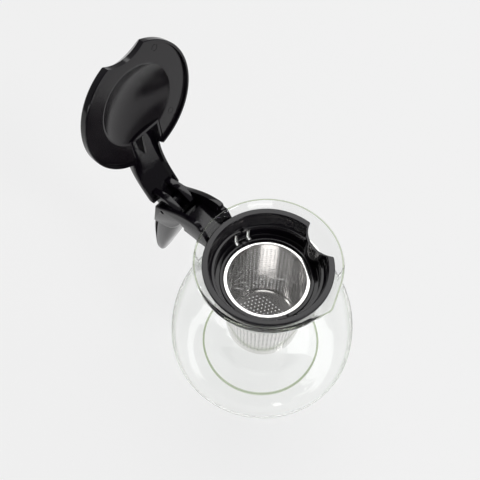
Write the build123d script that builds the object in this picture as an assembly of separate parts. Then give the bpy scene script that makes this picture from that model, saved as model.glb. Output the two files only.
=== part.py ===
from build123d import *
import math
import os

# Glass teapot with a lift-out infuser, about one litre to the brim.
# Millimetres, +Z up, origin on the table at the centre of the foot.
# +X points to the spout, -X to the handle, and the lid hinge runs along Y.
# Rest pose: lid thrown open, infuser holder turned so that its chute is off the spout.

# Glass body
glass_height = 121.4
glass_wall = 1.9
rim_radius = 47.8
rim_chamfer = 0.6
flare_height = 13.8
flare_foot_step = 1.1
neck_bend_height = 2.7
neck_length = 7.4
neck_radius = 37.8
shoulder_radius = 55.8
shoulder_height = 64.0
belly_radius = 65.3
belly_height = 19.0
heel_radius = 54.0
heel_height = 1.0
heel_slope = 0.15
foot_radius = 42.5
foot_width = 2.0
push_up = 3.0
spout_reach = 51.5
spout_tip_radius = 1.6
spout_root_reach = 0.15
spout_section_shares = (0.0, 0.4, 0.75, 1.0)

# Clamp that holds the handle on the neck
band_height = 7.0
band_thickness = 0.8
band_play = 0.05
band_rise = 4.0
screw_rise = 2.0
nut_length = 6.0
nut_width = 9.0
nut_height = 7.0
nut_play = 0.3
thread_radius = 2.0
thread_play = 0.05
screw_engagement = 5.0
screw_head_radius = 3.4
screw_head_height = 2.2
screw_head_rounding = 0.7
screw_slot_length = 4.08
screw_slot_width = 1.0
screw_slot_depth = 1.2
screw_hole_play = 0.3
washer_radius = 3.9
washer_thickness = 0.8
screw_well_play = 0.4
screw_well_wall = 1.4
screw_well_depth = 6.5
clamp_reach = 16.9

# Lid hinge. Side views of the handle and of the lid's arm are drawn from its pin.
hinge_reach = 16.8
hinge_drop = 14.1
lid_open_angle = 99.5
pin_radius = 1.5
pin_half_length = 10.9
pin_chamfer = 0.3
pin_press_play = 0.01
pin_running_play = 0.05
lug_radius = 5.8
lug_thickness = 5.0
lug_centre = 6.0
knuckle_radius = 3.4
lug_back = [(-1.5, 5.7), (3.8, 9.7), (9.1, 12.1)]
lug_web = [(-3.2, 0.0), (-1.5, 5.7), (3.8, 9.7), (5.0, 8.1), (0.4, 4.4), (0.0, 0.0)]
lug_corner = (-0.8, -9.0)
nose_height = 9.2
nose_reach = 12.2
nose_top = 4.0
nose_chin = (3.2, 1.4)
nose_lean = 21.0

# Handle. The top runs from the back corner over the hinge to the rim.
handle_half_width = 12.5
handle_wall = 3.6
handle_top = [(-6.7, 0.2), (-1.5, 2.9), (6.8, 8.4), (17.2, 13.7), (29.9, 17.1)]
handle_end = [(29.9, 17.1), (32.3, 16.3), (33.3, 14.1), (41.5, 14.1), (45.5, -2.5)]
bridge_under = [(31.9, -2.3), (27.5, -1.3), (22.5, 0.4), (16.6, 2.5)]
housing_under = [(16.6, 2.5), (13.3, -4.5), (6.9, -12.9), (-1.5, -18.7), (-9.5, -19.3)]
saddle_gap = 0.35
block_low = -8.3
block_high = 4.7
block_lap = 0.5
pocket_back = -5.7
pocket_play = 0.4
pocket_rise = 1.5
back_opening = -7.8
# The grip: height, back edge, front edge and half width of each section.
grip_sections = [
    (-6.3, -8.3, 10.3, 11.0),
    (-23.3, -12.2, 5.8, 10.6),
    (-41.3, -14.9, 0.3, 9.8),
    (-59.3, -16.5, -6.3, 8.4),
    (-71.3, -16.7, -10.7, 6.2),
    (-77.3, -15.7, -13.1, 3.0),
]
grip_wall = 2.2
grip_corner = 4.0
corner_share = 0.45
cover_top = -20.3
cover_low = -69.3
cover_thickness = 2.6
cover_gap = 0.1

# Infuser holder
flange_inset = 5.8
flange_width = 4.0
flange_sink = 3.5
flange_edge = 1.0
flange_seat_drop = 2.3
seat_gap = 0.35
seat_bend_rise = 1.4
holder_wall = 1.65
ledge_width = 2.0
ledge_drop = 8.9
ledge_slope_rise = 4.5
ledge_slope_lean = 1.5
cup_depth = 10.0
shelf_width = 3.2
bead_seat_drop = 1.6
bead_seat_thickness = 1.2
strainer_hole_play = 0.3
lip_wall = 1.9
lip_height = 1.2
chute_angle = 70.0
chute_radius = 17.6
chute_bulge = 1.9
chute_wall = 1.6
latch_slot_offset = 4.5
latch_slot_width = 1.9
latch_slot_drop = 1.5
latch_nose_half_width = 2.2
latch_nose_height = 1.8
latch_nose_reach = 0.9
latch_notch_width = 3.0
latch_notch_depth = 1.5

# Lid
lid_overhang = 0.2
lid_seat_gap = 0.3
lid_shell = 1.6
lid_recess = 2.0
dome_shoulder_radius = 25.0
dome_shoulder_rise = 10.6
dome_rise = 12.8
dome_edge_slope = 0.9
plate_thickness = 1.0
plate_play = 0.15
dish_radius = 27.7
dish_rise = 7.6
# The dish between its edge and its middle: radius, and rise over the plate's flat face.
dish_curve = [(25.2, 1.0), (14.0, 5.7)]
bite_radius = 25.1
bite_depth = 6.8
bite_edge_height = 3.8
bite_bevel_slope = 1.2
# The shut arm's back, from the hinge to where it fades into the dome.
arm_back = [(3.8, 10.7), (17.2, 18.7), (31.5, 22.9), (45.5, 23.7), (67.5, 23.1)]
arm_side_play = 0.05
arm_wall = 2.0
arm_end_wall = (1.8, 1.2)
arm_rest_gap = 0.4
arm_lip_inset = 0.4
window_inset = 3.7
window_roof = 21.3
shroud_top = 18.7
rib_thickness = 1.4
rib_length = 17.0
rib_overhang = 4.0
rib_low = 16.7

# Strainer
bead_height = 1.5
bead_rounding = 0.5
bead_seat_gap = 0.3
bead_side_gap = 0.4
bead_lap = 0.5
bead_overhang = 1.5
bead_groove_depth = 0.8
strainer_depth = 64.4
strainer_taper = 2.0
strainer_sheet = 0.6
base_flange_height = 3.0
base_round = 1.2
sheet_gap = 0.05
hole_radius = 0.8
hole_columns = 20
hole_rows = 7
hole_first_rise = 10.0
hole_row_pitch = 7.4
base_hole_pitch = 5.4
base_hole_rings = 3
punch_length = 4.0

# Cutting tools run past the faces that they cut, by a little or by a lot.
past = 1.0
far = 200.0

# The neck and the flare are set down from the rim, and the clamp goes by the neck.
flare_start_height = glass_height - flare_height
flare_start_radius = neck_radius + flare_foot_step
neck_high = flare_start_height - neck_bend_height
neck_low = neck_high - neck_length
band_centre_height = neck_low + band_rise
screw_centre_height = band_centre_height + screw_rise
clamp_face = -(rim_radius + clamp_reach)
hinge_x = clamp_face - hinge_reach
hinge_z = glass_height - hinge_drop

# The holder hangs from the rim inside the neck, and the strainer hangs from the holder.
flange_radius = rim_radius - flange_inset
flange_inner_radius = flange_radius - flange_width
flange_top = glass_height - flange_sink
ledge_height = flange_top - ledge_drop
shelf_height = ledge_height - cup_depth
bead_seat_height = shelf_height - bead_seat_drop
holder_bottom = bead_seat_height - bead_seat_thickness
holder_neck_radius = neck_radius - glass_wall - seat_gap
cup_radius = holder_neck_radius - holder_wall
ledge_radius = cup_radius + ledge_width
lip_radius = cup_radius - shelf_width
bead_seat_radius = lip_radius - lip_wall
bead_radius = bead_seat_radius - bead_side_gap
chute_centre = cup_radius - chute_bulge + chute_radius
strainer_top_radius = bead_radius - bead_overhang
strainer_bottom_radius = strainer_top_radius - strainer_taper
strainer_bottom = bead_seat_height - strainer_depth


def flat(points):
    return [(x, 0, z) for x, z in points]


def from_pin(points):
    """Side-view points drawn from the hinge pin, moved to their place on the teapot."""
    return [(hinge_x + x, hinge_z + z) for x, z in points]


def polygon_face(points):
    return make_face(Polyline(*flat(points), close=True))


def turned(face):
    return revolve(face, Axis.Z, 360)


def slab(face, half_width):
    return extrude(face, amount=half_width, dir=(0, 1, 0), both=True)


def across_y(x, z, radius, half_length):
    return Pos(x, 0, z) * Rot(90, 0, 0) * Cylinder(radius, 2 * half_length)


def along_x(x_from, x_to, z, radius):
    return Pos((x_from + x_to) / 2, 0, z) * Rot(0, 90, 0) * Cylinder(radius, x_to - x_from)


def block(x_from, x_to, half_width, z_from, z_to):
    body = Box(x_to - x_from, 2 * half_width, z_to - z_from)
    return Pos((x_from + x_to) / 2, 0, (z_from + z_to) / 2) * body


def tube(outer, inner, z_from, z_to):
    ring = Cylinder(outer, z_to - z_from) - Cylinder(inner, z_to - z_from)
    return Pos(0, 0, (z_from + z_to) / 2) * ring


flare_slope = (rim_radius - flare_start_radius) / (glass_height - flare_start_height)
flare_stretch = math.sqrt(1 + flare_slope**2)


def flare_radius(z, inset):
    return rim_radius - (glass_height - z) * flare_slope - inset * flare_stretch


def bulb_solid(inset):
    """The turned glass up to the foot of the flare, set in from the outside by inset."""
    lean = math.atan2(belly_radius - neck_radius, neck_low - belly_height)
    start = (foot_radius + foot_width / 2, inset)
    foot = (foot_radius - foot_width / 2, inset)
    middle = (0, inset + push_up)
    heel = (heel_radius, heel_height + inset)
    belly = (belly_radius - inset, belly_height)
    shoulder_x = shoulder_radius - inset * math.cos(lean)
    shoulder = (shoulder_x, shoulder_height - inset * math.sin(lean))
    neck_bottom = (neck_radius - inset, neck_low)
    neck_top = (neck_radius - inset, neck_high)
    flare_foot = (flare_radius(flare_start_height, inset), flare_start_height)
    base = Polyline(*flat([(0, flare_start_height), middle, foot, start, heel]))
    round_heel = Spline(*flat([heel, belly]), tangents=[(1, 0, heel_slope), (0, 0, 1)])
    side = Spline(*flat([belly, shoulder, neck_bottom]), tangents=[(0, 0, 1), (0, 0, 1)])
    neck = Line(*flat([neck_bottom, neck_top]))
    bend = Spline(*flat([neck_top, flare_foot]), tangents=[(0, 0, 1), (flare_slope, 0, 1)])
    top = Line(*flat([flare_foot, (0, flare_start_height)]))
    return turned(make_face([base, round_heel, side, neck, bend, top]))


def flare_solid(inset, top):
    """The flare, whose round section is drawn out to the pouring lip as it rises."""
    sections = []
    for share in spout_section_shares:
        z = flare_start_height + share * (top - flare_start_height)
        rise = (z - flare_start_height) / (glass_height - flare_start_height)
        out = spout_root_reach + (spout_reach - rim_radius - spout_root_reach) * rise**2
        radius = flare_radius(z, inset)
        tip = Pos(radius + out - spout_tip_radius, 0) * Circle(spout_tip_radius)
        outline = make_hull([Circle(radius).edge(), tip.edge()])
        sections.append(Pos(0, 0, z) * outline)
    return loft(sections)


def make_glass_body():
    outside = bulb_solid(0) + flare_solid(0, glass_height)
    outside = chamfer(outside.faces().sort_by(Axis.Z)[-1].edges(), rim_chamfer)
    inside = bulb_solid(glass_wall) + flare_solid(glass_wall, glass_height)
    return outside - inside


band_inner = neck_radius + band_play
band_outer = band_inner + band_thickness
nut_back = -(band_outer + nut_length)
washer_back = clamp_face - washer_thickness


def make_neck_band():
    low = band_centre_height - band_height / 2
    return tube(band_outer, band_inner, low, low + band_height)


def make_band_nut():
    low = screw_centre_height - nut_height / 2
    nut = block(nut_back, 0, nut_width / 2, low, low + nut_height)
    nut -= Pos(0, 0, screw_centre_height) * Cylinder(band_outer, 2 * nut_height)
    return nut - along_x(nut_back - past, 0, screw_centre_height, thread_radius + thread_play)


def make_clamp_screw():
    back = washer_back - screw_head_height
    tip = nut_back + screw_engagement
    head = along_x(back, washer_back, screw_centre_height, screw_head_radius)
    head = fillet(head.edges().filter_by(GeomType.CIRCLE).sort_by(Axis.X)[0], screw_head_rounding)
    sizes = (screw_slot_length / 2, screw_slot_width / 2)
    for wide, tall in (sizes, sizes[::-1]):
        low, high = screw_centre_height - tall, screw_centre_height + tall
        head -= block(back - past, back + screw_slot_depth, wide, low, high)
    return head + along_x(washer_back, tip, screw_centre_height, thread_radius)


def make_clamp_washer():
    bore = thread_radius + thread_play
    washer = along_x(washer_back, clamp_face, screw_centre_height, washer_radius)
    return washer - along_x(washer_back - past, clamp_face + past, screw_centre_height, bore)


hollow_sections = grip_sections[1:4]


def bridge_solid():
    top = Spline(*flat(from_pin(handle_top)))
    end = Polyline(*flat(from_pin(handle_end + bridge_under[:1])))
    under = Spline(*flat(from_pin(bridge_under)))
    housing = Spline(*flat(from_pin(housing_under)))
    back = Line(*flat(from_pin([housing_under[-1], handle_top[0]])))
    return slab(make_face([top, end, under, housing, back]), handle_half_width)


def grip_solid(rows, inset):
    """Stack of rounded rectangles that leans back and tapers to the tip."""
    sections = []
    for z, back, front, half in rows:
        depth = front - back - 2 * inset
        corner = min(grip_corner, corner_share * depth, corner_share * half)
        outline = RectangleRounded(depth, 2 * (half - inset), corner)
        sections.append(Pos(hinge_x + (front + back) / 2, 0, hinge_z + z) * outline)
    return loft(sections)


def grip_back(z):
    """Back edge of the grip at a height, on straight lines between its sections."""
    for upper, lower in zip(grip_sections, grip_sections[1:]):
        if lower[0] <= z <= upper[0]:
            share = (upper[0] - z) / (upper[0] - lower[0])
            return upper[1] + share * (lower[1] - upper[1])


def grip_back_slab(depth, low, top):
    """What lies behind a line that runs down the grip, depth in from its back edge."""
    heights = [top] + [row[0] for row in grip_sections if low < row[0] < top] + [low]
    line = [(grip_back(z) + depth, z) for z in heights]
    outline = from_pin(line + [(-far, low), (-far, top)])
    return slab(polygon_face(outline), handle_half_width + past)


channel_half_width = handle_half_width - handle_wall
pocket_radius = nose_reach + pocket_play
screw_well_radius = washer_radius + screw_well_play


def hinge_pocket():
    """Room for the lid's arm and its nose, open above and at the back."""
    end = handle_end[-2][0]
    high = [
        (pocket_back, 0),
        (hinge_reach, 0),
        (hinge_reach, block_high),
        (end, block_high + pocket_rise),
        (end, far),
        (-far, far),
        (-far, back_opening),
        (pocket_back, back_opening),
    ]
    swing = across_y(hinge_x, hinge_z, pocket_radius, channel_half_width)
    front = swing & block(hinge_x + pocket_back, clamp_face, channel_half_width, 0, far)
    return slab(polygon_face(from_pin(high)), channel_half_width) + front


def saddle_cutter():
    """The neck with its band, and the flare above them, grown by the saddle's gap."""
    clear = band_outer + saddle_gap
    gap = saddle_gap * flare_stretch
    start = glass_height - (rim_radius + gap - clear) / flare_slope
    rim = rim_radius + gap
    points = [(0, 0), (clear, 0), (clear, start), (rim, glass_height), (rim, far), (0, far)]
    return turned(polygon_face(points))


def nut_room():
    low = screw_centre_height - nut_height / 2 - nut_play
    high = screw_centre_height + nut_height / 2 + nut_play
    return block(nut_back - nut_play, 0, nut_width / 2 + nut_play, low, high)


def make_handle():
    handle = bridge_solid() + grip_solid(grip_sections, 0)
    end = hinge_x + handle_end[-1][0]
    low, high = hinge_z + block_low, hinge_z + block_high
    handle += block(clamp_face, end, channel_half_width + block_lap, low, high)
    well_back = clamp_face - screw_well_depth
    well_wall = screw_well_radius + screw_well_wall
    handle += along_x(well_back, clamp_face + past, screw_centre_height, well_wall)
    handle -= hinge_pocket()
    handle -= along_x(well_back, clamp_face, screw_centre_height, screw_well_radius)
    hole = thread_radius + screw_hole_play
    handle -= along_x(clamp_face - past, nut_back + past, screw_centre_height, hole)
    handle -= saddle_cutter()
    handle -= nut_room()
    seat = (cover_thickness + cover_gap, cover_low - cover_gap, cover_top + cover_gap)
    handle -= grip_back_slab(*seat)
    handle -= grip_solid(hollow_sections, grip_wall)
    bore = pin_radius + pin_press_play
    return handle - across_y(hinge_x, hinge_z, bore, handle_half_width + past)


def make_handle_cover():
    strip = grip_back_slab(cover_thickness, cover_low, cover_top)
    return grip_solid(grip_sections, 0) & strip


def make_hinge_pin():
    pin = across_y(hinge_x, hinge_z, pin_radius, pin_half_length)
    return chamfer(pin.edges().filter_by(GeomType.CIRCLE), pin_chamfer)


lid_radius = flange_radius + lid_overhang
lid_bottom = flange_top + lid_seat_gap
lid_crown = lid_bottom + dome_rise
plate_bottom = lid_bottom + lid_recess
dome_edge = plate_bottom + plate_thickness + lid_shell
bite_x = lid_radius - bite_depth + bite_radius
window_end = window_inset - dish_radius
arm_half_width = handle_half_width - arm_side_play
arm_corner = (glass_wall - rim_radius, hinge_z + handle_top[-1][1] + arm_rest_gap)


def opened(shape):
    """Swing a piece of the shut lid up and over to the rest pose."""
    return shape.rotate(Axis((hinge_x, 0, hinge_z), (0, 1, 0)), -lid_open_angle)


def dome_solid(inset, low):
    edge = (lid_radius - inset, dome_edge - inset)
    shoulder = (dome_shoulder_radius, lid_bottom + dome_shoulder_rise - inset)
    crown = (0, lid_crown - inset)
    curve = Spline(*flat([edge, shoulder, crown]), tangents=[(-1, 0, dome_edge_slope), (-1, 0, 0)])
    rest = Polyline(*flat([crown, (0, low), (edge[0], low), edge]))
    return turned(make_face([curve, rest]))


def bite(radius):
    """The round bite out of the lid's front that lets the tea pass to the spout."""
    return Pos(bite_x, 0, lid_bottom) * Cylinder(radius, far)


def bite_bevel(inset):
    """What a cone round the bite takes off the dome, so that its edge there is low."""
    low = lid_bottom + bite_edge_height - inset * math.sqrt(1 + bite_bevel_slope**2)
    high = lid_crown + past
    reach = bite_radius + (high - low) / bite_bevel_slope
    cone = turned(polygon_face([(0, low), (bite_radius, low), (reach, high), (0, high)]))
    return Pos(bite_x, 0, 0) * cone


def below_arm():
    """Everything under the shut arm: the handle's top raised by its gap, and the rim."""
    raised = from_pin([(x, z + arm_rest_gap) for x, z in handle_top])
    under = [raised[-1], arm_corner, (arm_corner[0], 0), (raised[0][0], 0), raised[0]]
    return slab(make_face([Spline(*flat(raised)), Polyline(*flat(under))]), far)


def arm_solid():
    shroud_end = window_end + arm_wall
    back = from_pin(arm_back)
    ends = [back[0], (back[0][0], hinge_z), (arm_corner[0], hinge_z), arm_corner]
    ends += [(-lid_radius, dome_edge), (arm_lip_inset - lid_radius, plate_bottom)]
    ends += [(shroud_end, plate_bottom), (shroud_end, hinge_z + shroud_top), back[-1]]
    arm = slab(make_face([Spline(*flat(back)), Polyline(*flat(ends))]), arm_half_width)
    return arm - below_arm()


def arm_hollow():
    """Channel under the arm, open below, that ends in the window of the lid's plate."""
    start = (arm_back[0][0] + arm_end_wall[0], arm_back[0][1] - arm_end_wall[1])
    line = from_pin([start] + [(x, z - arm_wall) for x, z in arm_back[1:4]])
    line.append((window_end, hinge_z + window_roof))
    rest = Polyline(*flat([line[-1], (window_end, 0), (line[0][0], 0), line[0]]))
    return slab(make_face([Spline(*flat(line)), rest]), arm_half_width - arm_wall)


def lug_outline():
    """Side view of a hinge lug with the arm shut: it hangs from the arm past the pin."""
    nose = -math.sqrt(nose_reach**2 - nose_height**2)
    chin = (nose_chin[0], nose - nose_chin[1])
    face = [(nose_height, nose_top), (nose_height, nose), chin, lug_corner]
    tilt = math.radians(90 - lid_open_angle - nose_lean)
    turn = [
        (x * math.cos(tilt) - z * math.sin(tilt), x * math.sin(tilt) + z * math.cos(tilt))
        for x, z in face
    ]
    return from_pin(lug_back + turn)


def make_lugs():
    lug = slab(polygon_face(lug_outline()), lug_thickness / 2)
    lug += across_y(hinge_x, hinge_z, lug_radius, lug_thickness / 2)
    knuckle = across_y(hinge_x, hinge_z, knuckle_radius, lug_centre)
    knuckle += slab(polygon_face(from_pin(lug_web)), lug_centre)
    return Pos(0, lug_centre, 0) * lug + Pos(0, -lug_centre, 0) * lug + knuckle


def make_lid_cap():
    arm = arm_solid() - arm_hollow()
    hollow = dome_solid(lid_shell, lid_bottom - past) - bite(bite_radius + lid_shell)
    hollow -= bite_bevel(lid_shell)
    cap = dome_solid(0, lid_bottom) - bite(bite_radius) - bite_bevel(0) - hollow
    cap -= arm_hollow()
    cap += arm
    start = -(lid_radius + rib_overhang)
    rib = block(start, start + rib_length, rib_thickness / 2, hinge_z + rib_low, far)
    cap += rib & arm_hollow()
    cap += make_lugs()
    bore = pin_radius + pin_running_play
    return cap - across_y(hinge_x, hinge_z, bore, handle_half_width)


def dish_line(lift):
    """Half section of the plate's dished middle, from its edge to the axis."""
    low = plate_bottom + lift
    points = [(dish_radius, low)] + [(r, low + rise) for r, rise in dish_curve]
    points.append((0, low + dish_rise))
    return Spline(*flat(points), tangents=[(-1, 0, 0), (-1, 0, 0)])


def make_lid_plate():
    outer = lid_radius - lid_shell - plate_play
    top = plate_bottom + plate_thickness
    rim = [(dish_radius, top), (outer, top), (outer, plate_bottom), (dish_radius, plate_bottom)]
    middle = [(0, plate_bottom + dish_rise), (0, top + dish_rise)]
    edges = [dish_line(0), dish_line(plate_thickness)]
    plate = turned(make_face(edges + [Polyline(*flat(rim)), Line(*flat(middle))]))
    plate -= bite(bite_radius + lid_shell + plate_play)
    window_half = arm_half_width + plate_play
    window_x = window_end + arm_wall + plate_play
    return plate - block(-far, window_x, window_half, 0, far)


def holder_section():
    """Half section of the infuser's ring, from its rim down to the seat of the strainer."""
    hole = strainer_top_radius + strainer_hole_play
    lip_top = shelf_height + lip_height
    gap = seat_gap * flare_stretch
    seat_height = flange_top - flange_seat_drop
    bend_height = flare_start_height + seat_bend_rise
    outside = [
        (flange_radius, flange_top),
        (flange_radius, flange_top - flange_edge),
        (flare_radius(seat_height, glass_wall) - gap, seat_height),
        (flare_radius(bend_height, glass_wall) - gap, bend_height),
        (holder_neck_radius, neck_high + seat_bend_rise),
        (holder_neck_radius, holder_bottom),
    ]
    inside = [
        (hole, holder_bottom),
        (hole, bead_seat_height),
        (bead_seat_radius, bead_seat_height),
        (bead_seat_radius, lip_top),
        (lip_radius, lip_top),
        (lip_radius, shelf_height),
        (cup_radius, shelf_height),
        (cup_radius, ledge_height),
        (ledge_radius, ledge_height),
        (ledge_radius + ledge_slope_lean, ledge_height + ledge_slope_rise),
        (flange_inner_radius, flange_top),
    ]
    return outside, inside


def latch_cuts():
    """Two slots beside each of the two springy tongues, and the notch above each tongue."""
    low = holder_bottom - past
    top = ledge_height - latch_slot_drop
    cuts = []
    for side in (1, -1):
        for across in (latch_slot_offset, -latch_slot_offset):
            slot = Box(flange_radius - lip_radius, latch_slot_width, top - low)
            x = (flange_radius + lip_radius) / 2
            slot = Pos(x, across, (top + low) / 2) * slot
            cuts.append(Rot(0, 0, 90 * side) * slot)
        notch = Box(ledge_radius - cup_radius, latch_notch_width, 2 * latch_notch_depth)
        notch = Pos((ledge_radius + cup_radius) / 2, 0, ledge_height) * notch
        cuts.append(Rot(0, 0, 90 * side) * notch)
    return cuts


def latch_noses():
    """The nose on each tongue that snaps over the strainer's rolled rim."""
    noses = []
    low = bead_seat_height + bead_seat_gap + bead_height + bead_seat_gap
    for side in (1, -1):
        length = lip_wall + latch_nose_reach
        nose = Box(length, 2 * latch_nose_half_width, latch_nose_height)
        x = lip_radius - length / 2
        nose = Pos(x, 0, low + latch_nose_height / 2) * nose
        noses.append(Rot(0, 0, 90 * side) * nose)
    return noses


def make_infuser_holder():
    outside, inside = holder_section()
    holder = turned(polygon_face(outside + inside))
    envelope = turned(polygon_face([(0, flange_top)] + outside + [(0, holder_bottom)]))
    chute = Pos(chute_centre, 0, flange_top)
    room = chute * Cylinder(chute_radius, far)
    wall = chute * (Cylinder(chute_radius + chute_wall, far) - Cylinder(chute_radius, far))
    wall &= envelope
    wall -= Cylinder(bead_seat_radius, far)
    wall -= block(0, far, far, 0, shelf_height)
    holder = holder - room + wall
    holder -= latch_cuts()
    holder += latch_noses()
    return holder.rotate(Axis.Z, chute_angle)


bead_bottom = bead_seat_height + bead_seat_gap
wall_top = bead_bottom + bead_groove_depth - sheet_gap
strainer_lean = (strainer_top_radius - strainer_bottom_radius) / (wall_top - strainer_bottom)


def make_strainer_rim():
    inner = strainer_top_radius - strainer_sheet - bead_lap
    bead = tube(bead_radius, inner, bead_bottom, bead_bottom + bead_height)
    bead = fillet(bead.edges(), bead_rounding)
    groove_outer = strainer_top_radius + sheet_gap
    groove_inner = strainer_top_radius - strainer_sheet - sheet_gap
    groove_top = bead_bottom + bead_groove_depth
    return bead - tube(groove_outer, groove_inner, bead_bottom - past, groove_top)


def make_strainer_wall():
    low, high = strainer_bottom_radius, strainer_top_radius
    face = [(low, strainer_bottom), (high, wall_top)]
    face += [(high - strainer_sheet, wall_top), (low - strainer_sheet, strainer_bottom)]
    wall = turned(polygon_face(face))
    holes = []
    for row in range(hole_rows):
        rise = hole_first_rise + row * hole_row_pitch
        radius = strainer_bottom_radius + rise * strainer_lean
        for column in range(hole_columns):
            spot = Pos(radius, 0, strainer_bottom + rise) * Rot(0, 90, 0)
            punch = spot * Cylinder(hole_radius, punch_length)
            holes.append(Rot(0, 0, 360 * column / hole_columns) * punch)
    return wall - holes


def make_strainer_base():
    outer = strainer_bottom_radius - strainer_sheet - sheet_gap
    cup = Pos(0, 0, strainer_bottom + base_flange_height / 2)
    cup *= Cylinder(outer, base_flange_height)
    cup = fillet(cup.edges().sort_by(Axis.Z)[0], base_round)
    inner = Pos(0, 0, strainer_bottom + strainer_sheet + base_flange_height / 2)
    inner *= Cylinder(outer - strainer_sheet, base_flange_height)
    inner = fillet(inner.edges().sort_by(Axis.Z)[0], base_round - strainer_sheet)
    holes = [Pos(0, 0, strainer_bottom) * Cylinder(hole_radius, punch_length)]
    for ring in range(1, base_hole_rings + 1):
        for step in range(6 * ring):
            spot = Rot(0, 0, 60 * step / ring) * Pos(ring * base_hole_pitch, 0, strainer_bottom)
            holes.append(spot * Cylinder(hole_radius, punch_length))
    return cup - inner - holes


nodes = {
    "glass_body": make_glass_body(),
    "neck_band": make_neck_band(),
    "band_nut": make_band_nut(),
    "clamp_screw": make_clamp_screw(),
    "clamp_washer": make_clamp_washer(),
    "handle": make_handle(),
    "handle_cover": make_handle_cover(),
    "hinge_pin": make_hinge_pin(),
    "lid_cap": opened(make_lid_cap()),
    "lid_inner_plate": opened(make_lid_plate()),
    "infuser_holder": make_infuser_holder(),
    "strainer_rim": make_strainer_rim(),
    "strainer_wall": make_strainer_wall(),
    "strainer_base": make_strainer_base(),
}

os.makedirs("parts", exist_ok=True)
for name, solid in nodes.items():
    export_step(solid, f"parts/{name}.step")
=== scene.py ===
import bmesh
import bpy
import math
from mathutils import Matrix, Vector
from mathutils.geometry import interpolate_bezier


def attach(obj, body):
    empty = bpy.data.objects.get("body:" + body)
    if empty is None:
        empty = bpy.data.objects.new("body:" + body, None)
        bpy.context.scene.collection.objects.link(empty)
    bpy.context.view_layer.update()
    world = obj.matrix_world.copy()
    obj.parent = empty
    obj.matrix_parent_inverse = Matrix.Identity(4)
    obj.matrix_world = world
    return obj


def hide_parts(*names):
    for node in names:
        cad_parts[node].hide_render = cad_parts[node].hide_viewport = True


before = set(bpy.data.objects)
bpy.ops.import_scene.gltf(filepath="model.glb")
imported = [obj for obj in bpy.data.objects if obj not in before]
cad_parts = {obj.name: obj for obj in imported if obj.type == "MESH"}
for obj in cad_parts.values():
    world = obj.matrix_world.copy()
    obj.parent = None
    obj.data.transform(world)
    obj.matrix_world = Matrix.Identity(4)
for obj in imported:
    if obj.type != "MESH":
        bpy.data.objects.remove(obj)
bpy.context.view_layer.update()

# Table and light: a flat pale sheet under three soft boxes. The camera stands high over
# the spout's near side. Where it sees the sheet, also in steel and through glass, most
# of the light is the sheet's own glow. The room is brightest beyond the handle.
scene = bpy.context.scene
scene.view_settings.view_transform = "Standard"
camera = bpy.data.objects.new("camera", bpy.data.cameras.new("camera"))
camera.data.lens = 63.75
camera.data.sensor_width = 36.0
camera.data.clip_end = 20.0
turn = Matrix.Rotation(math.radians(39.23), 4, "Z")
tip = Matrix.Rotation(math.radians(30.21), 4, "X")
roll = Matrix.Rotation(math.radians(2.51), 4, "Z")
stand = Matrix.Translation((0.1474, -0.2098, 0.5866))
camera.matrix_world = stand @ turn @ tip @ roll
scene.collection.objects.link(camera)
scene.camera = camera

table = bmesh.new()
bmesh.ops.create_grid(table, x_segments=2, y_segments=2, size=2.5)
floor_mesh = bpy.data.meshes.new("floor")
table.to_mesh(floor_mesh)
table.free()
floor = bpy.data.objects.new("floor", floor_mesh)
scene.collection.objects.link(floor)


def new_material(name, **sockets):
    """A material, its nodes and links, and its main shader with the given sockets set."""
    material = bpy.data.materials.new(name)
    material.use_nodes = True
    shader = material.node_tree.nodes["Principled BSDF"]
    for socket, value in sockets.items():
        shader.inputs[socket.replace("_", " ")].default_value = value
    return material, material.node_tree.nodes, material.node_tree.links, shader


def reckoned(nodes, links, how, *values):
    """The output of a Math node, fed with plain numbers and other nodes' outputs."""
    node = nodes.new("ShaderNodeMath")
    node.operation = how
    for socket, value in zip(node.inputs, values):
        if isinstance(value, float):
            socket.default_value = value
        else:
            links.new(value, socket)
    return node.outputs[0]


def spread_over(nodes, links, value, least, most, start=0.0, stop=1.0):
    """A value that runs from start to stop, made to run from least to most."""
    node = nodes.new("ShaderNodeMapRange")
    node.inputs["From Min"].default_value = start
    node.inputs["From Max"].default_value = stop
    node.inputs["To Min"].default_value = least
    node.inputs["To Max"].default_value = most
    links.new(value, node.inputs["Value"])
    return node.outputs[0]


paper, nodes, links, shader = new_material("white sheet", Roughness=0.6)
shader.inputs["Base Color"].default_value = (0.87, 0.87, 0.87, 1.0)
shader.inputs["Specular IOR Level"].default_value = 0.2
glow = nodes.new("ShaderNodeEmission")
glow.inputs["Color"].default_value = (0.945, 0.945, 0.945, 1.0)
path = nodes.new("ShaderNodeLightPath")
straight, bounced = path.outputs["Is Camera Ray"], path.outputs["Is Glossy Ray"]
seen = reckoned(nodes, links, "MAXIMUM", straight, bounced)
seen = reckoned(nodes, links, "MAXIMUM", seen, path.outputs["Is Transmission Ray"])
glow_share = 0.8
lit = nodes.new("ShaderNodeMixShader")
links.new(reckoned(nodes, links, "MULTIPLY", seen, glow_share), lit.inputs[0])
links.new(shader.outputs[0], lit.inputs[1])
links.new(glow.outputs[0], lit.inputs[2])
links.new(lit.outputs[0], nodes["Material Output"].inputs["Surface"])
floor.data.materials.append(paper)

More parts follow.
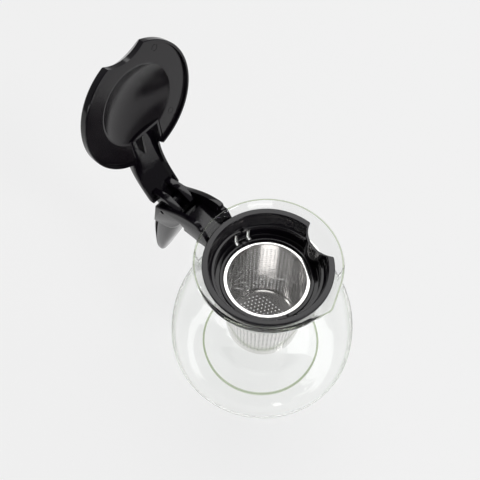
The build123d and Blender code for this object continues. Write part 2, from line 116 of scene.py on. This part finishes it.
world = bpy.data.worlds.new("studio")
scene.world = world
world.use_nodes = True
nodes, links = world.node_tree.nodes, world.node_tree.links
outlook = nodes.new("ShaderNodeTexCoord")
away = nodes.new("ShaderNodeVectorMath")
away.operation = "DOT_PRODUCT"
away.inputs[1].default_value = (-0.57, 0.82, 0.0)
links.new(outlook.outputs["Generated"], away.inputs[0])
dim, bright = 0.05, 0.38
strength = spread_over(nodes, links, away.outputs["Value"], dim, bright, -0.8, 0.7)
links.new(strength, nodes["Background"].inputs["Strength"])
nodes["Background"].inputs["Color"].default_value = (1.0, 1.0, 1.0, 1.0)


def soft_box(name, place, aim, width, height, power):
    """A rectangular lamp that stands at a place and faces a point. Metres and watts."""
    lamp = bpy.data.objects.new(name, bpy.data.lights.new(name, "AREA"))
    lamp.data.shape = "RECTANGLE"
    lamp.data.size = width
    lamp.data.size_y = height
    lamp.data.energy = power
    facing = (Vector(place) - Vector(aim)).to_track_quat("Z", "Y").to_matrix().to_4x4()
    lamp.matrix_world = Matrix.Translation(place) @ facing
    scene.collection.objects.link(lamp)


soft_box("wide box behind the handle", (-0.75, 1.0, 1.7), (0.0, 0.0, 0.1), 1.9, 1.3, 17.0)
soft_box("box over the spout", (1.1, 0.1, 1.2), (0.0, 0.0, 0.08), 0.35, 0.6, 5.5)
soft_box("low box in front", (1.0, -0.75, 0.45), (-0.05, 0.0, 0.12), 0.7, 0.4, 2.5)


# Glass body: one blown borosilicate bulb with a straight neck and a flare above it. The
# base is pushed up so that the pot stands on a ring, and the pouring lip is drawn out
# of the hot rim with a tool. Sizes from here on are in mm until a piece is finished.
def bezier_line(knots, steps):
    """Points along joined Bezier arcs. A knot is a point with the handles beside it."""
    line = []
    for (start, _, leave), (end, arrive, _) in zip(knots, knots[1:]):
        line += interpolate_bezier(start, leave, arrive, end, steps)[:-1]
    return [(p[0], p[1]) for p in line] + [knots[-1][0]]


def turned(outline, steps=128):
    """A bmesh of a closed outline of radius and height spun round the upright axis."""
    mesh = bmesh.new()
    ring = [mesh.verts.new((max(r, 0.0), 0.0, z)) for r, z in outline]
    edges = [mesh.edges.new(pair) for pair in zip(ring, ring[1:] + ring[:1])]
    bmesh.ops.spin(
        mesh, geom=ring + edges, cent=(0, 0, 0), axis=(0, 0, 1),
        angle=2 * math.pi, steps=steps, use_merge=True,
    )
    bmesh.ops.remove_doubles(mesh, verts=mesh.verts, dist=1e-3)
    loose = [edge for edge in mesh.edges if not edge.link_faces]
    bmesh.ops.delete(mesh, geom=loose, context="EDGES")
    bmesh.ops.recalc_face_normals(mesh, faces=mesh.faces)
    return mesh


def finished(name, mesh, material, body, node, crease=35.0):
    """The piece's object in metres, smooth up to a crease angle, riding on its body."""
    bmesh.ops.scale(mesh, verts=mesh.verts, vec=(0.001, 0.001, 0.001))
    data = bpy.data.meshes.new(name)
    mesh.to_mesh(data)
    mesh.free()
    for face in data.polygons:
        face.use_smooth = True
    data.set_sharp_from_angle(angle=math.radians(crease))
    piece = bpy.data.objects.new(name, data)
    scene.collection.objects.link(piece)
    data.materials.append(material)
    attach(piece, body)
    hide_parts(node)
    return piece


rim_height, rim_radius, neck_radius, glass_wall = 121.4, 47.8, 37.8, 1.9
flare_foot_height, flare_foot_radius = 107.6, 38.9
flare_slope = (rim_radius - flare_foot_radius) / (rim_height - flare_foot_height)


def glass_line(inset):
    """Half section of the blown glass from the foot up to the rim, set in by inset."""
    lean = inset * math.hypot(1, flare_slope)
    belly, neck = 65.3 - inset, neck_radius - inset
    shoulder, rise = 55.8 - 0.92 * inset, 64.0 - 0.3 * inset
    return bezier_line(
        [
            ((43.5, inset), None, (48.0, inset)),
            ((54.0, 1.0 + inset), (51.0, inset), (60.0, 2.0 + inset)),
            ((belly, 19.0), (belly, 10.0), (belly, 37.0)),
            ((shoulder, rise), (shoulder + 5.4, rise - 9.5), (shoulder - 5.6, rise + 10.0)),
            ((neck, 97.5), (neck, 86.8), (neck, 100.0)),
            ((neck, 104.9), (neck, 102.0), (neck, 106.0)),
            (
                (flare_foot_radius - lean, flare_foot_height),
                (38.4 - lean, 106.8), (41.1 - lean, 111.0),
            ),
            ((rim_radius - lean, rim_height), (44.8 - lean, 116.8), None),
        ],
        14,
    )


outside, inside = glass_line(0.0), glass_line(glass_wall)
rim = [(47.8, 120.8), (47.4, 121.3), (46.7, 121.4), (46.0, 121.3), (45.6, 120.9)]
foot = [(0.0, 3.0), (20.0, 2.6), (36.0, 1.6), (40.7, 0.3), (41.5, 0.0)]
floor_inside = [(r, z + glass_wall) for r, z in foot[2::-1]]
bulb = turned(foot + outside[:-1] + rim + inside[-2::-1] + floor_inside, 256)
spout_foot, spout_reach, lip_round = 105.5, 51.5, 0.035
lip_flat = 0.06 * lip_round
for vert in bulb.verts:
    rise = max((vert.co.z - spout_foot) / (rim_height - spout_foot), 0.0)
    pull = 1 + (spout_reach / rim_radius - 1) * rise**2
    spread = math.acos(1 / pull)
    angle = math.hypot(math.atan2(vert.co.y, vert.co.x), lip_round) - lip_flat
    if angle < spread:
        vert.co.xy *= 1 / math.cos(spread - angle)

glass, nodes, links, shader = new_material("clear glass", Roughness=0.0, IOR=1.08)
shader.inputs["Transmission Weight"].default_value = 1.0
shader.inputs["Coat Roughness"].default_value = 0.0
edge_on = nodes.new("ShaderNodeLayerWeight")
edge_on.inputs["Blend"].default_value = 0.3
tint = nodes.new("ShaderNodeValToRGB")
tint.color_ramp.elements[0].color = (0.985, 0.99, 0.985, 1.0)
tint.color_ramp.elements[0].position = 0.56
tint.color_ramp.elements[1].position = 0.74
tint.color_ramp.elements[1].color = (0.40, 0.48, 0.35, 1.0)
links.new(edge_on.outputs["Facing"], tint.inputs[0])
most_coat, no_coat = 0.8, 0.0
coat = spread_over(nodes, links, edge_on.outputs["Facing"], most_coat, no_coat, 0.6, 0.78)
links.new(coat, shader.inputs["Coat Weight"])
# The thick glass of the foot ring and of the rim's crest is green. Places in metres.
ring_radius, ring_half, ring_top, rim_crest = 0.0425, 0.0007, 0.004, 0.12133
place = nodes.new("ShaderNodeTexCoord")
apart = nodes.new("ShaderNodeSeparateXYZ")
links.new(place.outputs["Object"], apart.inputs[0])
level = nodes.new("ShaderNodeCombineXYZ")
links.new(apart.outputs["X"], level.inputs["X"])
links.new(apart.outputs["Y"], level.inputs["Y"])
reach = nodes.new("ShaderNodeVectorMath")
reach.operation = "LENGTH"
links.new(level.outputs[0], reach.inputs[0])
on_ring = reckoned(nodes, links, "COMPARE", reach.outputs["Value"], ring_radius, ring_half)
low = reckoned(nodes, links, "LESS_THAN", apart.outputs["Z"], ring_top)
foot_line = reckoned(nodes, links, "MULTIPLY", on_ring, low)
rim_line = reckoned(nodes, links, "GREATER_THAN", apart.outputs["Z"], rim_crest)
thick = reckoned(nodes, links, "MAXIMUM", foot_line, rim_line)
green = nodes.new("ShaderNodeMix")
green.data_type = "RGBA"
green.inputs[7].default_value = (0.34, 0.41, 0.26, 1.0)
links.new(thick, green.inputs[0])
links.new(tint.outputs[0], green.inputs[6])
links.new(green.outputs[2], shader.inputs["Base Color"])
clear = nodes.new("ShaderNodeBsdfTransparent")
clear.inputs["Color"].default_value = (0.95, 0.96, 0.95, 1.0)
path = nodes.new("ShaderNodeLightPath")
through = nodes.new("ShaderNodeMixShader")
links.new(path.outputs["Is Shadow Ray"], through.inputs[0])
links.new(shader.outputs[0], through.inputs[1])
links.new(clear.outputs[0], through.inputs[2])
links.new(through.outputs[0], nodes["Material Output"].inputs["Surface"])
finished("blown_glass", bulb, glass, "pot", "glass_body", crease=60.0)


# Neck clamp: a stainless strap is bent round the neck under the flare, with a threaded
# block welded to its back. A screw with a washer pulls the handle on to it. These four
# and the hinge's pin, which is pressed into the handle, are the plain CAD solids.
def dressed(node, material):
    """Gives a CAD solid that is shown as it is its material."""
    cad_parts[node].data.materials.clear()
    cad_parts[node].data.materials.append(material)


steel, nodes, links, shader = new_material("drawn stainless", Metallic=1.0)
shader.inputs["Base Color"].default_value = (0.82, 0.81, 0.80, 1.0)
place = nodes.new("ShaderNodeTexCoord")
along = nodes.new("ShaderNodeMapping")
along.inputs["Scale"].default_value = (2600.0, 2600.0, 40.0)
grain = nodes.new("ShaderNodeTexNoise")
grain.inputs["Scale"].default_value = 1.0
grain.inputs["Detail"].default_value = 3.0
links.new(place.outputs["Object"], along.inputs["Vector"])
links.new(along.outputs["Vector"], grain.inputs["Vector"])
smooth, rough = 0.08, 0.15
sheen = spread_over(nodes, links, grain.outputs[0], smooth, rough)
links.new(sheen, shader.inputs["Roughness"])
scratch = nodes.new("ShaderNodeBump")
scratch.inputs["Strength"].default_value = 0.02
scratch.inputs["Distance"].default_value = 0.0001
links.new(grain.outputs[0], scratch.inputs["Height"])
links.new(scratch.outputs[0], shader.inputs["Normal"])
for node in ("neck_band", "band_nut", "clamp_screw", "clamp_washer", "hinge_pin"):
    dressed(node, steel)


# Handle: one glossy black moulding with the bridge to the neck, the hinge housing and
# the drooping grip. The hinge pocket is open above, and the screw's well opens into it.
# The real grip is hollow, but nothing of that shows, so here it is solid.
def plastic(name, speckle, dark, light, smooth, rough):
    """A black plastic whose tone and gloss vary a little, with a faint moulded skin."""
    material, nodes, links, shader = new_material(name, Specular_IOR_Level=0.4)
    place = nodes.new("ShaderNodeTexCoord")
    mottle = nodes.new("ShaderNodeTexNoise")
    mottle.inputs["Scale"].default_value = speckle
    mottle.inputs["Detail"].default_value = 4.0
    links.new(place.outputs["Object"], mottle.inputs["Vector"])
    tone = nodes.new("ShaderNodeValToRGB")
    tone.color_ramp.elements[0].color = dark
    tone.color_ramp.elements[1].color = light
    links.new(mottle.outputs[0], tone.inputs[0])
    links.new(tone.outputs[0], shader.inputs["Base Color"])
    gloss = spread_over(nodes, links, mottle.outputs[0], smooth, rough)
    links.new(gloss, shader.inputs["Roughness"])
    skin = nodes.new("ShaderNodeTexNoise")
    skin.inputs["Scale"].default_value = 700.0
    links.new(place.outputs["Object"], skin.inputs["Vector"])
    ripple = nodes.new("ShaderNodeBump")
    ripple.inputs["Strength"].default_value = 0.03
    ripple.inputs["Distance"].default_value = 0.0002
    links.new(skin.outputs[0], ripple.inputs["Height"])
    links.new(ripple.outputs[0], shader.inputs["Normal"])
    return material


black = plastic(
    "polished black plastic", speckle=90.0, smooth=0.06, rough=0.16,
    dark=(0.004, 0.003, 0.005, 1.0), light=(0.009, 0.007, 0.011, 1.0),
)


def upright_slab(outline, half_width, rounding=0.0):
    """A closed side outline of (x, z) points made as thick as the piece is wide."""
    mesh = bmesh.new()
    near = mesh.faces.new([mesh.verts.new((x, -half_width, z)) for x, z in outline])
    far = bmesh.ops.extrude_face_region(mesh, geom=[near])["geom"]
    moved = [v for v in far if isinstance(v, bmesh.types.BMVert)]
    bmesh.ops.translate(mesh, verts=moved, vec=(0, 2 * half_width, 0))
    bmesh.ops.recalc_face_normals(mesh, faces=mesh.faces)
    if rounding:
        rims = [e for e in mesh.edges if abs(e.verts[0].co.y - e.verts[1].co.y) < 1e-3]
        bmesh.ops.bevel(
            mesh, geom=rims, offset=rounding, segments=3, profile=0.5, affect="EDGES",
            material=-1, clamp_overlap=True,
        )
    return mesh


def rod(centre, radius, half_length, axis="Y", segments=48):
    """A plain round bar along one axis, also used as a drill."""
    mesh = bmesh.new()
    lay = Matrix() if axis == "Z" else Matrix.Rotation(math.pi / 2, 4, "X" if axis == "Y" else "Y")
    bmesh.ops.create_cone(
        mesh, cap_ends=True, segments=segments, radius1=radius, radius2=radius,
        depth=2 * half_length, matrix=Matrix.Translation(centre) @ lay,
    )
    return mesh


def carved(body, tool, how="DIFFERENCE"):
    """The first bmesh cut by the second one, or joined with it. Both are used up."""
    pair = []
    for name, mesh in (("blank", body), ("tool", tool)):
        data = bpy.data.meshes.new(name)
        mesh.to_mesh(data)
        mesh.free()
        pair.append(bpy.data.objects.new(name, data))
        scene.collection.objects.link(pair[-1])
    cut = pair[0].modifiers.new("cut", "BOOLEAN")
    cut.operation = how
    cut.solver = "EXACT"
    cut.object = pair[1]
    bpy.context.view_layer.update()
    result = bmesh.new()
    result.from_object(pair[0], bpy.context.evaluated_depsgraph_get())
    for thing in pair:
        data = thing.data
        bpy.data.objects.remove(thing)
        bpy.data.meshes.remove(data)
    bmesh.ops.remove_doubles(result, verts=result.verts, dist=2e-3)
    bmesh.ops.dissolve_degenerate(result, edges=result.edges, dist=2e-3)
    return result


def grip_shape(rows, between=5, around=48, squareness=2.9):
    """A grip with a squarish round section, drawn in smooth curves through its rows."""
    stack = []
    for i in range(len(rows) - 1):
        a, b, c, d = (Vector(rows[min(max(j, 0), len(rows) - 1)]) for j in range(i - 1, i + 3))
        for step in range(between):
            t = step / between
            bend = 2 * a - 5 * b + 4 * c - d + t * (3 * b - a - 3 * c + d)
            stack.append(b + 0.5 * t * (c - a + t * bend))
    stack.append(Vector(rows[-1]))
    mesh = bmesh.new()
    loops = []
    for z, back, front, half in stack:
        loop = []
        for i in range(around):
            angle = 2 * math.pi * i / around
            way = (math.cos(angle), math.sin(angle))
            x, y = (math.copysign(abs(c) ** (2 / squareness), c) for c in way)
            loop.append(mesh.verts.new(((back + front + x * (front - back)) / 2, y * half, z)))
        loops.append(loop)
    for upper, lower in zip(loops, loops[1:]):
        for i in range(around):
            mesh.faces.new((upper[i - 1], upper[i], lower[i], lower[i - 1]))
    mesh.faces.new(loops[0])
    mesh.faces.new(loops[-1])
    bmesh.ops.recalc_face_normals(mesh, faces=mesh.faces)
    return mesh


handle_half, channel_half = 12.5, 8.9
hinge_x, hinge_z = -81.5, 107.3
bridge_top = bezier_line(
    [
        ((-88.2, 107.5), None, (-86.8, 108.6)),
        ((-83.0, 110.2), (-85.0, 109.5), (-80.2, 111.8)),
        ((-64.3, 121.0), (-70.2, 118.6), (-60.0, 122.8)),
        ((-51.6, 124.4), (-55.4, 124.0), None),
    ],
    8,
)
bridge_end = [(-49.2, 123.8), (-48.2, 121.4), (-40.0, 121.4), (-36.0, 104.8)]
bridge_under = bezier_line(
    [
        ((-49.6, 105.0), None, (-53.0, 105.6)),
        ((-64.9, 109.8), (-60.5, 107.4), (-66.3, 107.0)),
        ((-74.6, 94.4), (-70.2, 98.8), (-77.4, 92.0)),
        ((-91.0, 88.0), (-86.0, 88.4), None),
    ],
    8,
)
# Height, back edge, front edge and half width of the grip.
grip_rows = [
    (101.0, -89.8, -71.2, 11.0),
    (84.0, -93.7, -75.7, 10.6),
    (66.0, -96.4, -81.2, 9.8),
    (48.0, -98.0, -87.8, 8.4),
    (36.0, -98.2, -92.2, 6.2),
    (30.0, -97.2, -94.6, 3.0),
]
handle = upright_slab(bridge_top + bridge_end + bridge_under, handle_half, 1.1)
handle = carved(handle, grip_shape(grip_rows), "UNION")
clamp_block = [(-64.7, 99.0), (-36.0, 99.0), (-36.0, 112.0), (-64.7, 112.0)]
block_lap = 0.5
handle = carved(handle, upright_slab(clamp_block, channel_half + block_lap), "UNION")
screw_z, well_x, well_radius, boss_radius = 103.5, -67.95, 4.3, 5.7
boss = rod((well_x + 0.5, 0, screw_z), boss_radius, 3.75, "X")
handle = carved(handle, boss, "UNION")
pocket_round = 12.6
sweep = [math.radians(a) for a in range(-20, 91, 5)]
pocket = [
    (hinge_x + pocket_round * math.sin(a), hinge_z - pocket_round * math.cos(a))
    for a in sweep
]
pocket += [(-68.9, 108.1), (-64.7, 108.1), (-64.7, 112.0), (-40.0, 113.5), (-40.0, 140.0)]
pocket += [(-100.0, 140.0), (-100.0, 99.5), (-87.2, 99.5)]
handle = carved(handle, upright_slab(pocket, channel_half))
handle = carved(handle, rod((well_x + 0.1, 0, screw_z), well_radius, 3.25, "X"))
saddle = [(0.0, 80.0), (39.0, 80.0), (39.0, 107.0), (48.2, 121.4), (48.2, 140.0), (0.0, 140.0)]
handle = carved(handle, turned(saddle))
pin_hole = 1.52
handle = carved(handle, rod((hinge_x, 0, hinge_z), pin_hole, 14.0))
finished("bridge_and_grip", handle, black, "pot", "handle")

# Grip cover: a thin strip of the same plastic that closes the hollow grip from behind,
# snapped and glued in. It is the plain CAD solid, and its outer face stands a little
# proud of the solid grip that it is laid into.
dressed("handle_cover", black)

# Lid cap: a shallow dome with a turned-down lip, a beveled bite for the spout and the
# hollow hinge arm, all one moulding. It is shaped shut and then swung open.
lid_radius, lid_low, lid_shell, plate_low = 42.2, 118.2, 1.6, 120.2
bite_x, bite_radius, bite_edge, bite_slope = 60.5, 25.1, 122.0, 1.2


def dome_blank(inset, low, edge_rounding):
    """The dome as a solid down to a height, with the bite and its bevel cut out of it."""
    side, edge = lid_radius - inset, 122.8 - inset
    line = bezier_line(
        [
            ((side, edge - edge_rounding), None, (side, edge)),
            ((side - 1.8, edge + 1.3), (side - 0.9, edge + 0.6), (side - 4.0, edge + 3.2)),
            ((25.0, 128.8 - inset), (32.5, 127.4 - inset), (17.5, 130.2 - inset)),
            ((0.0, 131.0 - inset), (8.5, 131.0 - inset), None),
        ],
        10,
    )
    blank = turned([(0.0, low), (side - 0.4, low), (side, low + 0.4)] + line, 192)
    blank = carved(blank, rod((bite_x, 0, low), bite_radius + inset, 40.0, "Z", 160))
    foot = bite_edge - inset * math.hypot(1, bite_slope)
    reach = bite_radius + (135.0 - foot) / bite_slope
    cone = turned([(0.0, foot), (bite_radius, foot), (reach, 135.0), (0.0, 135.0)], 160)
    bmesh.ops.translate(cone, verts=cone.verts, vec=(bite_x, 0, 0))
    return carved(blank, cone)


arm_half, arm_wall = 12.45, 2.0
arm_back = bezier_line(
    [
        ((-77.7, 118.0), None, (-73.5, 120.8)),
        ((-64.3, 126.0), (-69.2, 123.6), (-59.8, 128.1)),
        ((-50.0, 130.2), (-55.3, 129.5), (-45.2, 130.8)),
        ((-14.0, 130.4), (-26.0, 131.0), None),
    ],
    8,
)
arm_front = [(-12.0, 129.0), (-22.0, 126.0), (-22.0, plate_low), (-41.8, plate_low)]
arm_front += [(-lid_radius, 122.8), (-45.9, 124.8)]
arm_end, arm_rest_gap = -77.7, 0.4
arm_heel = [(x, z + arm_rest_gap) for x, z in bridge_top[::-1] if x > arm_end]
arm = upright_slab(arm_back + arm_front + arm_heel + [(arm_end, 114.3)], arm_half, 0.8)
roof = bezier_line(
    [
        ((-75.9, 116.8), None, (-72.2, 119.4)),
        ((-64.3, 124.0), (-68.8, 121.6), (-59.8, 126.1)),
        ((-50.0, 128.2), (-55.3, 127.5), (-45.2, 128.8)),
        ((-24.0, 128.6), (-31.0, 129.0), None),
    ],
    8,
)
channel = roof + [(-24.0, 90.0), (-75.9, 90.0)]
cap = carved(dome_blank(0.0, lid_low, 1.1), dome_blank(lid_shell, lid_low - 1.0, 0.2))
cap = carved(cap, upright_slab(channel, arm_half - arm_wall))
cap = carved(cap, carved(arm, upright_slab(channel, arm_half - arm_wall)), "UNION")
rib_half = 0.7
rib = [(-46.2, 125.6), (-29.2, 124.0), (-29.2, 129.2), (-46.2, 129.2)]
cap = carved(cap, upright_slab(rib, rib_half), "UNION")
nose_tilt = Matrix.Rotation(math.radians(-30.5), 2)
nose = [nose_tilt @ Vector(p) for p in ((9.2, 4.0), (9.2, -8.0), (3.2, -9.4), (-0.8, -9.0))]
lug_line = [(-83.0, 113.0), (-77.7, 117.0), (-72.4, 119.4)]
lug_line += [(hinge_x + p.x, hinge_z + p.y) for p in nose]
lug_side, lug_half, lug_radius, knuckle_radius = 6.0, 2.5, 5.8, 3.4
for side in (lug_side, -lug_side):
    lug = upright_slab(lug_line, lug_half, 0.4)
    lug = carved(lug, rod((hinge_x, 0, hinge_z), lug_radius, lug_half), "UNION")
    bmesh.ops.translate(lug, verts=lug.verts, vec=(0, side, 0))
    cap = carved(cap, lug, "UNION")
cap = carved(cap, rod((hinge_x, 0, hinge_z), knuckle_radius, lug_side), "UNION")
web = [
    (-84.7, 107.3), (-83.0, 113.0), (-77.7, 117.0), (-76.5, 115.4), (-81.1, 111.7),
    (hinge_x, hinge_z),
]
cap = carved(cap, upright_slab(web, lug_side), "UNION")
lug_hole = 1.55
cap = carved(cap, rod((hinge_x, 0, hinge_z), lug_hole, 10.0))
opening = math.radians(-99.5)
hinge = Matrix.Translation((hinge_x, 0, hinge_z))
swing_open = hinge @ Matrix.Rotation(opening, 4, "Y") @ hinge.inverted()
bmesh.ops.transform(cap, matrix=swing_open, verts=cap.verts)
finished("dome_and_arm", cap, black, "lid", "lid_cap")

# Inner plate: a ring of satin black plastic with a shallow dish in its middle, welded
# inside the lid's lip. It keeps the round marks of the pegs that held it for welding.
satin = plastic(
    "satin black plastic", speckle=160.0, smooth=0.14, rough=0.26,
    dark=(0.006, 0.005, 0.007, 1.0), light=(0.014, 0.011, 0.014, 1.0),
)
plate_sheet, plate_bite_radius, plate_window_half = 0.9, 26.85, 12.6


def dish_line(lift):
    """Half section of the dish from its edge to the axis, lifted off its underside."""
    low = plate_low + lift
    return bezier_line(
        [
            ((27.7, low), None, (26.6, low)),
            ((25.2, low + 1.0), (26.0, low + 0.5), (20.9, low + 3.5)),
            ((14.0, low + 5.7), (17.9, low + 4.6), (9.4, low + 7.1)),
            ((0.0, low + 7.6), (4.7, low + 7.6), None),
        ],
        10,
    )


plate_rim = [(40.45, plate_low + plate_sheet), (40.45, plate_low + 0.2), (40.25, plate_low)]
plate = turned(dish_line(0.0) + dish_line(plate_sheet)[::-1] + plate_rim, 192)
plate = carved(plate, rod((bite_x, 0, plate_low), plate_bite_radius, 20.0, "Z", 160))
window = [(-60.0, 100.0), (-21.85, 100.0), (-21.85, 140.0), (-60.0, 140.0)]
plate = carved(plate, upright_slab(window, plate_window_half))
mark_low, mark_top = plate_low - 1.0, plate_low + 0.25
mark_line = [(1.9, mark_low), (2.2, mark_low), (2.2, mark_top), (1.9, mark_top)]
peg_marks = [(29.0, 22.0), (30.5, -24.5), (-23.0, 23.0), (-2.0, -35.0), (-22.0, -23.0)]
for x, y in peg_marks:
    mark = turned(mark_line, 32)
    bmesh.ops.translate(mark, verts=mark.verts, vec=(x, y, 0))
    plate = carved(plate, mark)
bmesh.ops.transform(plate, matrix=swing_open, verts=plate.verts)
finished("welded_plate", plate, satin, "lid", "lid_inner_plate")


# Infuser holder: a deep black moulded ring that hangs in the flare by its chamfered
# flange. Its wall turns inwards at the chute, and two tongues, each between two slots,
# snap over the strainer's rim.
def softened(corners, steps=4):
    """Closed outline of (radius, height, rounding) corners, each turned into an arc."""
    line = []
    for before, corner, after in zip(corners[-1:] + corners, corners, corners[1:] + corners[:1]):
        middle = Vector(corner[:2])
        if corner[2] == 0:
            line.append(tuple(middle))
            continue
        ends = []
        for other in (before, after):
            arm = Vector(other[:2]) - middle
            ends.append(middle + arm.normalized() * min(corner[2], 0.48 * arm.length))
        for step in range(steps + 1):
            t = step / steps
            point = ends[0] * (1 - t) ** 2 + middle * 2 * t * (1 - t) + ends[1] * t**2
            line.append((point.x, point.y))
    return line


ring_outside = [
    (42.0, 117.9, 0.6), (42.0, 116.9, 0.3), (41.38, 115.6, 0.6), (37.12, 109.0, 1.0),
    (35.55, 106.3, 1.0), (35.55, 96.2, 0.5),
]
ring_inside = [
    (27.2, 96.2, 0.2), (27.2, 97.4, 0.2), (28.8, 97.4, 0.0), (28.8, 100.2, 0.3),
    (30.7, 100.2, 0.3), (30.7, 99.0, 0.3), (33.9, 99.0, 0.8), (33.9, 109.0, 0.5),
    (35.9, 109.0, 0.4), (37.4, 113.5, 0.6), (38.0, 117.9, 0.5),
]
chute_x, chute_radius, chute_wall, corner_blend = 49.6, 17.6, 1.6, 1.0
chute_half_angle, chute_turn = 1.2, 70.0
# Radii that part the ring's inner face from its outer one, below and above the ledge.
ledge, parting_low, parting_high, parting_lean = 109.0, 35.1, 36.8, 0.36
ring_reach = 42.1
ring = turned(softened(ring_outside + ring_inside), 288)
for vert in ring.verts:
    reach, angle, z = vert.co.xy.length, math.atan2(vert.co.y, vert.co.x), vert.co.z
    parting = parting_high + parting_lean * (z - ledge) if z > ledge - 0.5 else parting_low
    inset = chute_wall if reach < parting else 0.0
    spread = chute_radius**2 - (chute_x * math.sin(angle)) ** 2
    if abs(angle) > chute_half_angle or spread <= 0:
        continue
    chute = chute_x * math.cos(angle) - math.sqrt(spread) - inset
    blend = min(max(0.5 + 0.5 * (ring_reach - chute) / corner_blend, 0.0), 1.0)
    limit = ring_reach * (1 - blend) + chute * blend - corner_blend * blend * (1 - blend)
    vert.co.xy *= min(limit / reach, 1.0)
bmesh.ops.remove_doubles(ring, verts=ring.verts, dist=5e-3)
bmesh.ops.dissolve_degenerate(ring, edges=ring.edges, dist=5e-3)
slot_line = [(30.7, 94.0), (44.0, 94.0), (44.0, 107.5), (30.7, 107.5)]
notch_line = [(33.9, 107.5), (36.2, 107.5), (36.2, 110.5), (33.9, 110.5)]
snap_line = [(27.9, 99.5), (30.0, 99.5), (30.7, 101.3), (28.6, 101.3)]
slot_side, slot_half, notch_half, snap_half = 4.5, 0.95, 1.5, 2.2
for quarter in (90.0, -90.0):
    spin = Matrix.Rotation(math.radians(quarter), 4, "Z")
    for side in (slot_side, -slot_side):
        slot = upright_slab(slot_line, slot_half)
        beside = spin @ Matrix.Translation((0, side, 0))
        bmesh.ops.transform(slot, verts=slot.verts, matrix=beside)
        ring = carved(ring, slot)
    notch = upright_slab(notch_line, notch_half)
    bmesh.ops.transform(notch, verts=notch.verts, matrix=spin)
    ring = carved(ring, notch)
    snap = upright_slab(snap_line, snap_half, 0.3)
    bmesh.ops.transform(snap, verts=snap.verts, matrix=spin)
    ring = carved(ring, snap, "UNION")
swung = Matrix.Rotation(math.radians(chute_turn), 4, "Z")
bmesh.ops.transform(ring, verts=ring.verts, matrix=swung)
finished("chute_ring", ring, black, "holder", "infuser_holder")

# Strainer rim: a bright bead rolled from stainless sheet round the mouth of the cup. It
# lies on the holder's inner seat, under the noses of the two tongues.
bead = [(25.8, 97.7, 0.3), (28.4, 97.7, 0.5), (28.4, 99.2, 0.6), (25.8, 99.2, 0.4)]
finished("rolled_bead", turned(softened(bead), 160), steel, "strainer", "strainer_rim")

# Strainer wall: thin stainless sheet with rows of fine punched holes, rolled into a
# slightly tapered cup that is blank at its foot and top. The rim holds its upper edge.
wall_low, wall_high, foot_radius, top_radius, wall_sheet = 33.0, 98.4, 24.9, 26.9, 0.5
columns, rows, hole_width, blank_low, blank_high = 60, 26, 0.7, 6.0, 5.0
girth, tall = math.pi * (foot_radius + top_radius), wall_high - wall_low
punched = bmesh.new()
bmesh.ops.create_grid(punched, x_segments=columns, y_segments=rows, size=0.5)
full_size = Matrix.Diagonal((girth, tall, 1.0, 1.0))
bmesh.ops.transform(punched, verts=punched.verts, matrix=full_size)
cells = []
for face in punched.faces:
    if blank_low < face.calc_center_median().y + tall / 2 < tall - blank_high:
        cells.append(face)
hole_margin = (girth / columns - hole_width) / 2
bmesh.ops.inset_individual(punched, faces=cells, thickness=hole_margin)
corners = [v for f in cells for v in f.verts]
bmesh.ops.bevel(
    punched, geom=corners, offset=0.3 * hole_width, segments=2, profile=0.5,
    affect="VERTICES", material=-1,
)
hole_sides = 12
holes = [f for f in punched.faces if len(f.verts) == hole_sides]
bmesh.ops.delete(punched, geom=holes, context="FACES")
for vert in punched.verts:
    around, up = 2 * math.pi * vert.co.x / girth, vert.co.y / tall + 0.5
    radius = foot_radius + (top_radius - foot_radius) * up
    vert.co = (radius * math.cos(around), radius * math.sin(around), wall_low + tall * up)
bmesh.ops.remove_doubles(punched, verts=punched.verts, dist=1e-2)
bmesh.ops.recalc_face_normals(punched, faces=punched.faces)
bmesh.ops.solidify(punched, geom=punched.faces[:], thickness=wall_sheet)
wall = finished("punched_wall", punched, steel, "strainer", "strainer_wall", crease=40.0)
# The wall shines as a smooth cup, so its normals point straight out or in.
round_normals = []
for vert in wall.data.vertices:
    radial = Vector((vert.co.x, vert.co.y, 0.0)).normalized()
    round_normals.append(radial if radial.dot(vert.normal) > 0 else -radial)
wall.data.normals_split_custom_set_from_vertices(round_normals)

# Strainer floor: a punched stainless disc with a short skirt, pressed into the foot of
# the wall. Its round holes stand in staggered rows.
floor_radius, floor_round, floor_sheet, skirt_top = 24.25, 1.2, 0.6, 36.0
base_pitch, base_hole, row_spacing, punched_reach = 2.9, 0.42, 0.866, 20.5
skirt_inside, floor_top = floor_radius - floor_sheet, wall_low + floor_sheet
base = [
    (0.0, wall_low, 0.0), (floor_radius, wall_low, floor_round),
    (floor_radius, skirt_top, 0.1), (skirt_inside, skirt_top, 0.1),
    (skirt_inside, floor_top, 0.6), (0.0, floor_top, 0.0),
]
punches = bmesh.new()
for row in range(-6, 7):
    for step in range(-7, 8):
        x = (step + 0.5 * (row % 2)) * base_pitch
        y = row * base_pitch * row_spacing
        if math.hypot(x, y) < punched_reach:
            bmesh.ops.create_cone(
                punches, cap_ends=True, segments=10, radius1=base_hole, radius2=base_hole,
                depth=4.0, matrix=Matrix.Translation((x, y, wall_low)),
            )
base = carved(turned(softened(base), 128), punches)
finished("punched_floor", base, steel, "strainer", "strainer_base")
